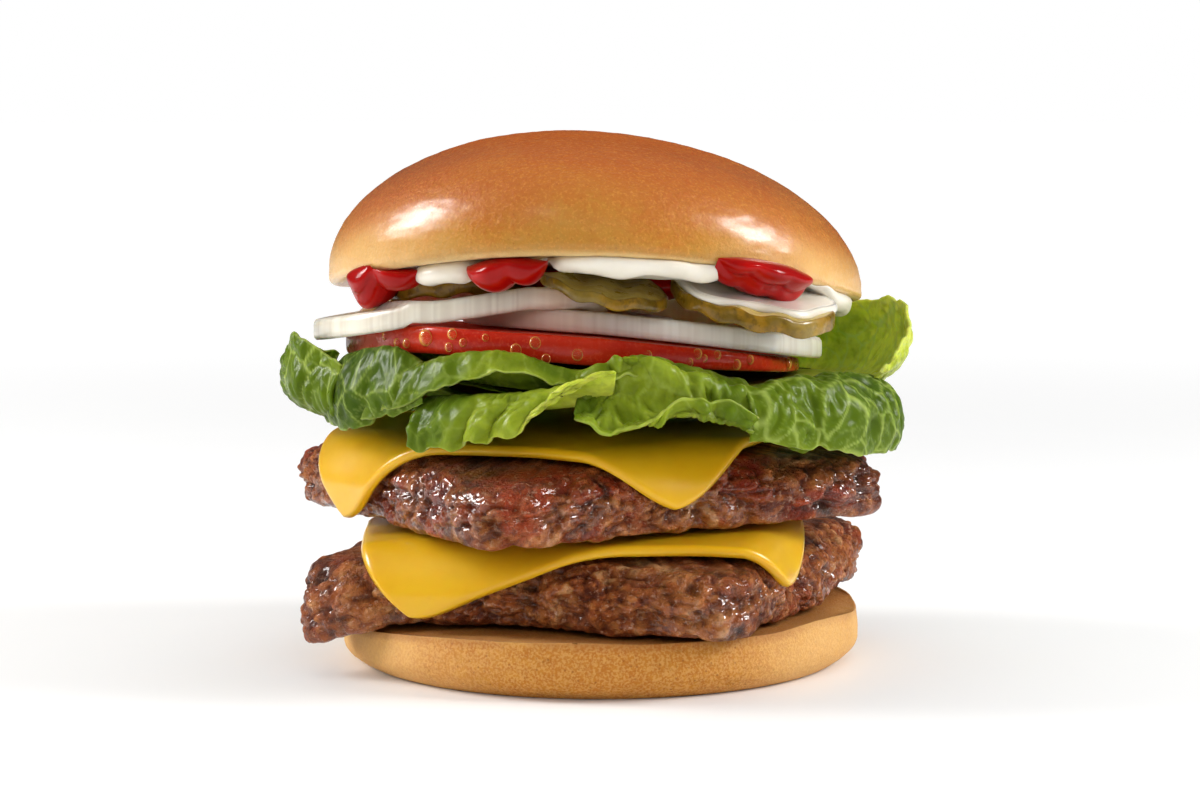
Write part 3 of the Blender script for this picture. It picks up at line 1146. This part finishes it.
def buildFloor():
    mesh = bpy.data.meshes.new("floor")
    turn = np.linspace(0, 2 * pi, 96, endpoint=False)
    x, y = polar((0, 0), studio["floorRadius"], turn)
    mesh.from_pydata(np.stack([x, y, 0 * turn], -1).tolist(), [], [list(range(len(turn)))])
    mesh.materials.append(floorMaterial())
    floor = addItem("floor", mesh)
    floor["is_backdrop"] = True


def addPointed(name, data, place, target):
    # an item at a place, turned to look at a target
    item = addItem(name, data)
    item.location = place
    item.rotation_euler = (Vector(target) - Vector(place)).to_track_quat("-Z", "Y").to_euler()
    return item


def addSoftbox(name, place, size, power, tint=(1, 1, 1), mirrored=True, glintOnly=False):
    data = bpy.data.lights.new(name, "AREA")
    data.shape = "RECTANGLE"
    data.size, data.size_y = size
    data.energy, data.color = power, tint
    item = addPointed(name, data, place, studio["aim"])
    item.visible_glossy, item.visible_diffuse = mirrored, not glintOnly


def addSun(name, place, angle, strength):
    # a wide even light that falls the same on the whole floor
    data = bpy.data.lights.new(name, "SUN")
    data.angle, data.energy = math.radians(angle), strength
    addPointed(name, data, place, (0, 0, 0)).visible_glossy = False


def buildSky():
    # plain white behind the object, and light that grows from the horizon to overhead
    world = bpy.data.worlds.new("studio")
    world.use_nodes = True
    tree, back = world.node_tree, world.node_tree.nodes["Background"]
    generated = node(tree, "TexCoord").outputs["Generated"]
    height = node(tree, "SeparateXYZ", {"Vector": generated}).outputs["Z"]
    glow = between(tree, height, studio["skyLow"], studio["skyHigh"])
    path = node(tree, "LightPath").outputs
    lighting = between(tree, path["Is Glossy Ray"], glow, times(tree, glow, studio["skyInGloss"]))
    feed(back, "Strength", between(tree, path["Is Camera Ray"], lighting, 1))
    feed(back, "Color", white)
    bpy.context.scene.world = world


buildFloor()
buildSky()
addSoftbox("keyLeft", (-0.74, 0.08, 0.42), (0.3, 0.45), 6, (1, 0.985, 0.96))
addSoftbox("fillRight", (0.76, -0.08, 0.45), (0.3, 0.4), 6.4)
addSoftbox("frontSoft", (-0.1, -0.9, 0.42), (0.9, 0.4), 3.2, mirrored=False)
addSoftbox("glintLeft", (-0.74, 0.02, 0.46), (0.2, 0.3), 4.6, glintOnly=True)
addSoftbox("glintRight", (0.74, -0.14, 0.46), (0.18, 0.26), 3.4, glintOnly=True)
addSoftbox("glintFront", (-0.3, -0.75, 0.75), (0.1, 0.06), 0.25, glintOnly=True)
addSun("topSoft", (0.05, 0.3, 1), 70, 0.5)

camera = addPointed("camera", bpy.data.cameras.new("camera"), (0, -0.6959, 0.1281), (0, 0, 0.0525))
camera.data.lens, camera.data.sensor_width = studio["lens"], studio["sensor"]
bpy.context.scene.camera = camera
bpy.context.scene.view_settings.view_transform = "Standard"

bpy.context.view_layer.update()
triangles = sum(len(item.data.loop_triangles) or sum(len(p.vertices) - 2 for p in item.data.polygons)
                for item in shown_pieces())
print("triangles in all:", triangles)
